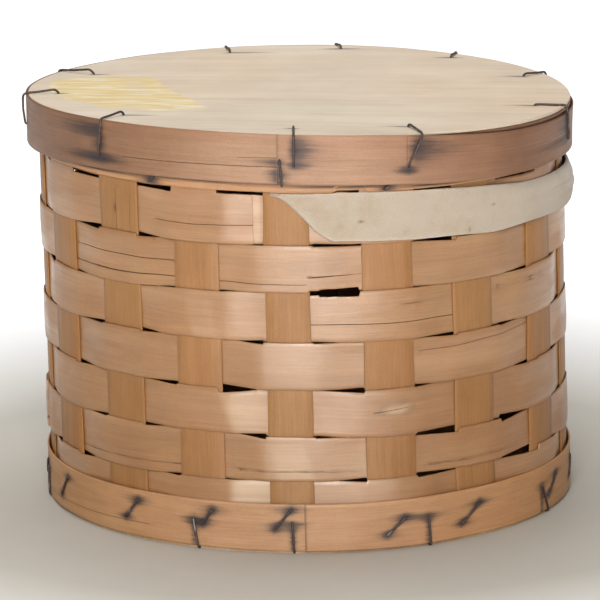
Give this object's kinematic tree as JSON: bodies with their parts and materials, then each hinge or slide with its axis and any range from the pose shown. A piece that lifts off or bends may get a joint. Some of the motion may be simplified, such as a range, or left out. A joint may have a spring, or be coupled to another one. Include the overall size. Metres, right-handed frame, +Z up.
{
  "type": "laundry hamper with lid",
  "caption": "Round laundry hamper woven from flat wood splints, with a lift-off cap lid held by wire staples and a webbing carrying strap.",
  "frame": {"origin": "centre of the base panel's underside, on the surface the hamper stands on", "axes": "+Z up along the hamper's height, -Y towards the front where the lid band's lap and the strap's end are, +X towards the side where the strap lies"},
  "size_m": [0.4466, 0.447, 0.3396],
  "materials": {
    "stake_wood": "aged bare splint, orange brown, with open grain",
    "weaver_wood": "aged bare splint, pinkish tan, faintly burnished",
    "hoop_wood": "bent veneer hoop, bare and aged",
    "base_wood": "bare veneer panel",
    "panel_wood": "pale bare veneer with straight grain",
    "band_wood": "bent veneer band, rubbed, with iron stains at the staples",
    "webbing": "undyed cotton twill webbing",
    "wire": "dark rusted steel wire"
  },
  "bodies": {
    "hamper": {"base_panel": "base_wood", "base_staple_01": "wire", "base_staple_02": "wire", "base_staple_03": "wire", "base_staple_04": "wire", "base_staple_05": "wire", "base_staple_06": "wire", "base_staple_07": "wire", "base_staple_08": "wire", "base_staple_09": "wire", "base_staple_10": "wire", "bottom_inner_hoop": "hoop_wood", "bottom_outer_hoop": "hoop_wood", "stake_01": "stake_wood", "stake_02": "stake_wood", "stake_03": "stake_wood", "stake_04": "stake_wood", "stake_05": "stake_wood", "stake_06": "stake_wood", "stake_07": "stake_wood", "stake_08": "stake_wood", "stake_09": "stake_wood", "stake_10": "stake_wood", "stake_11": "stake_wood", "stake_12": "stake_wood", "stake_13": "stake_wood", "stake_14": "stake_wood", "stake_15": "stake_wood", "stake_16": "stake_wood", "stake_17": "stake_wood", "stake_18": "stake_wood", "strap_tab_front": "webbing", "strap_tab_rear": "webbing", "top_inner_hoop": "hoop_wood", "top_outer_hoop": "hoop_wood", "weaver_1": "weaver_wood", "weaver_2": "weaver_wood", "weaver_3": "weaver_wood", "weaver_4": "weaver_wood", "weaver_5": "weaver_wood", "weaver_6": "weaver_wood", "weaver_7": "weaver_wood"},
    "lid": {"lid_inner_band": "band_wood", "lid_outer_band": "band_wood", "lid_panel": "panel_wood", "lid_seam_staple": "wire", "lid_staple_01": "wire", "lid_staple_02": "wire", "lid_staple_03": "wire", "lid_staple_04": "wire", "lid_staple_05": "wire", "lid_staple_06": "wire", "lid_staple_07": "wire", "lid_staple_08": "wire", "lid_staple_09": "wire", "lid_staple_10": "wire"},
    "strap": {"carrying_strap": "webbing"}
  },
  "joints": [
    {"name": "lid_lift", "type": "slide", "parent": "hamper", "child": "lid", "axis": [0, 0, 1], "range_m": [0, 0.12]},
    {"name": "strap_swing", "type": "hinge", "parent": "hamper", "child": "strap", "pos_m": [-0.00667, 0, 0.2689], "axis": [0, -1, 0], "range_deg": [0, 186], "deforming": ["carrying_strap"]}
  ]
}
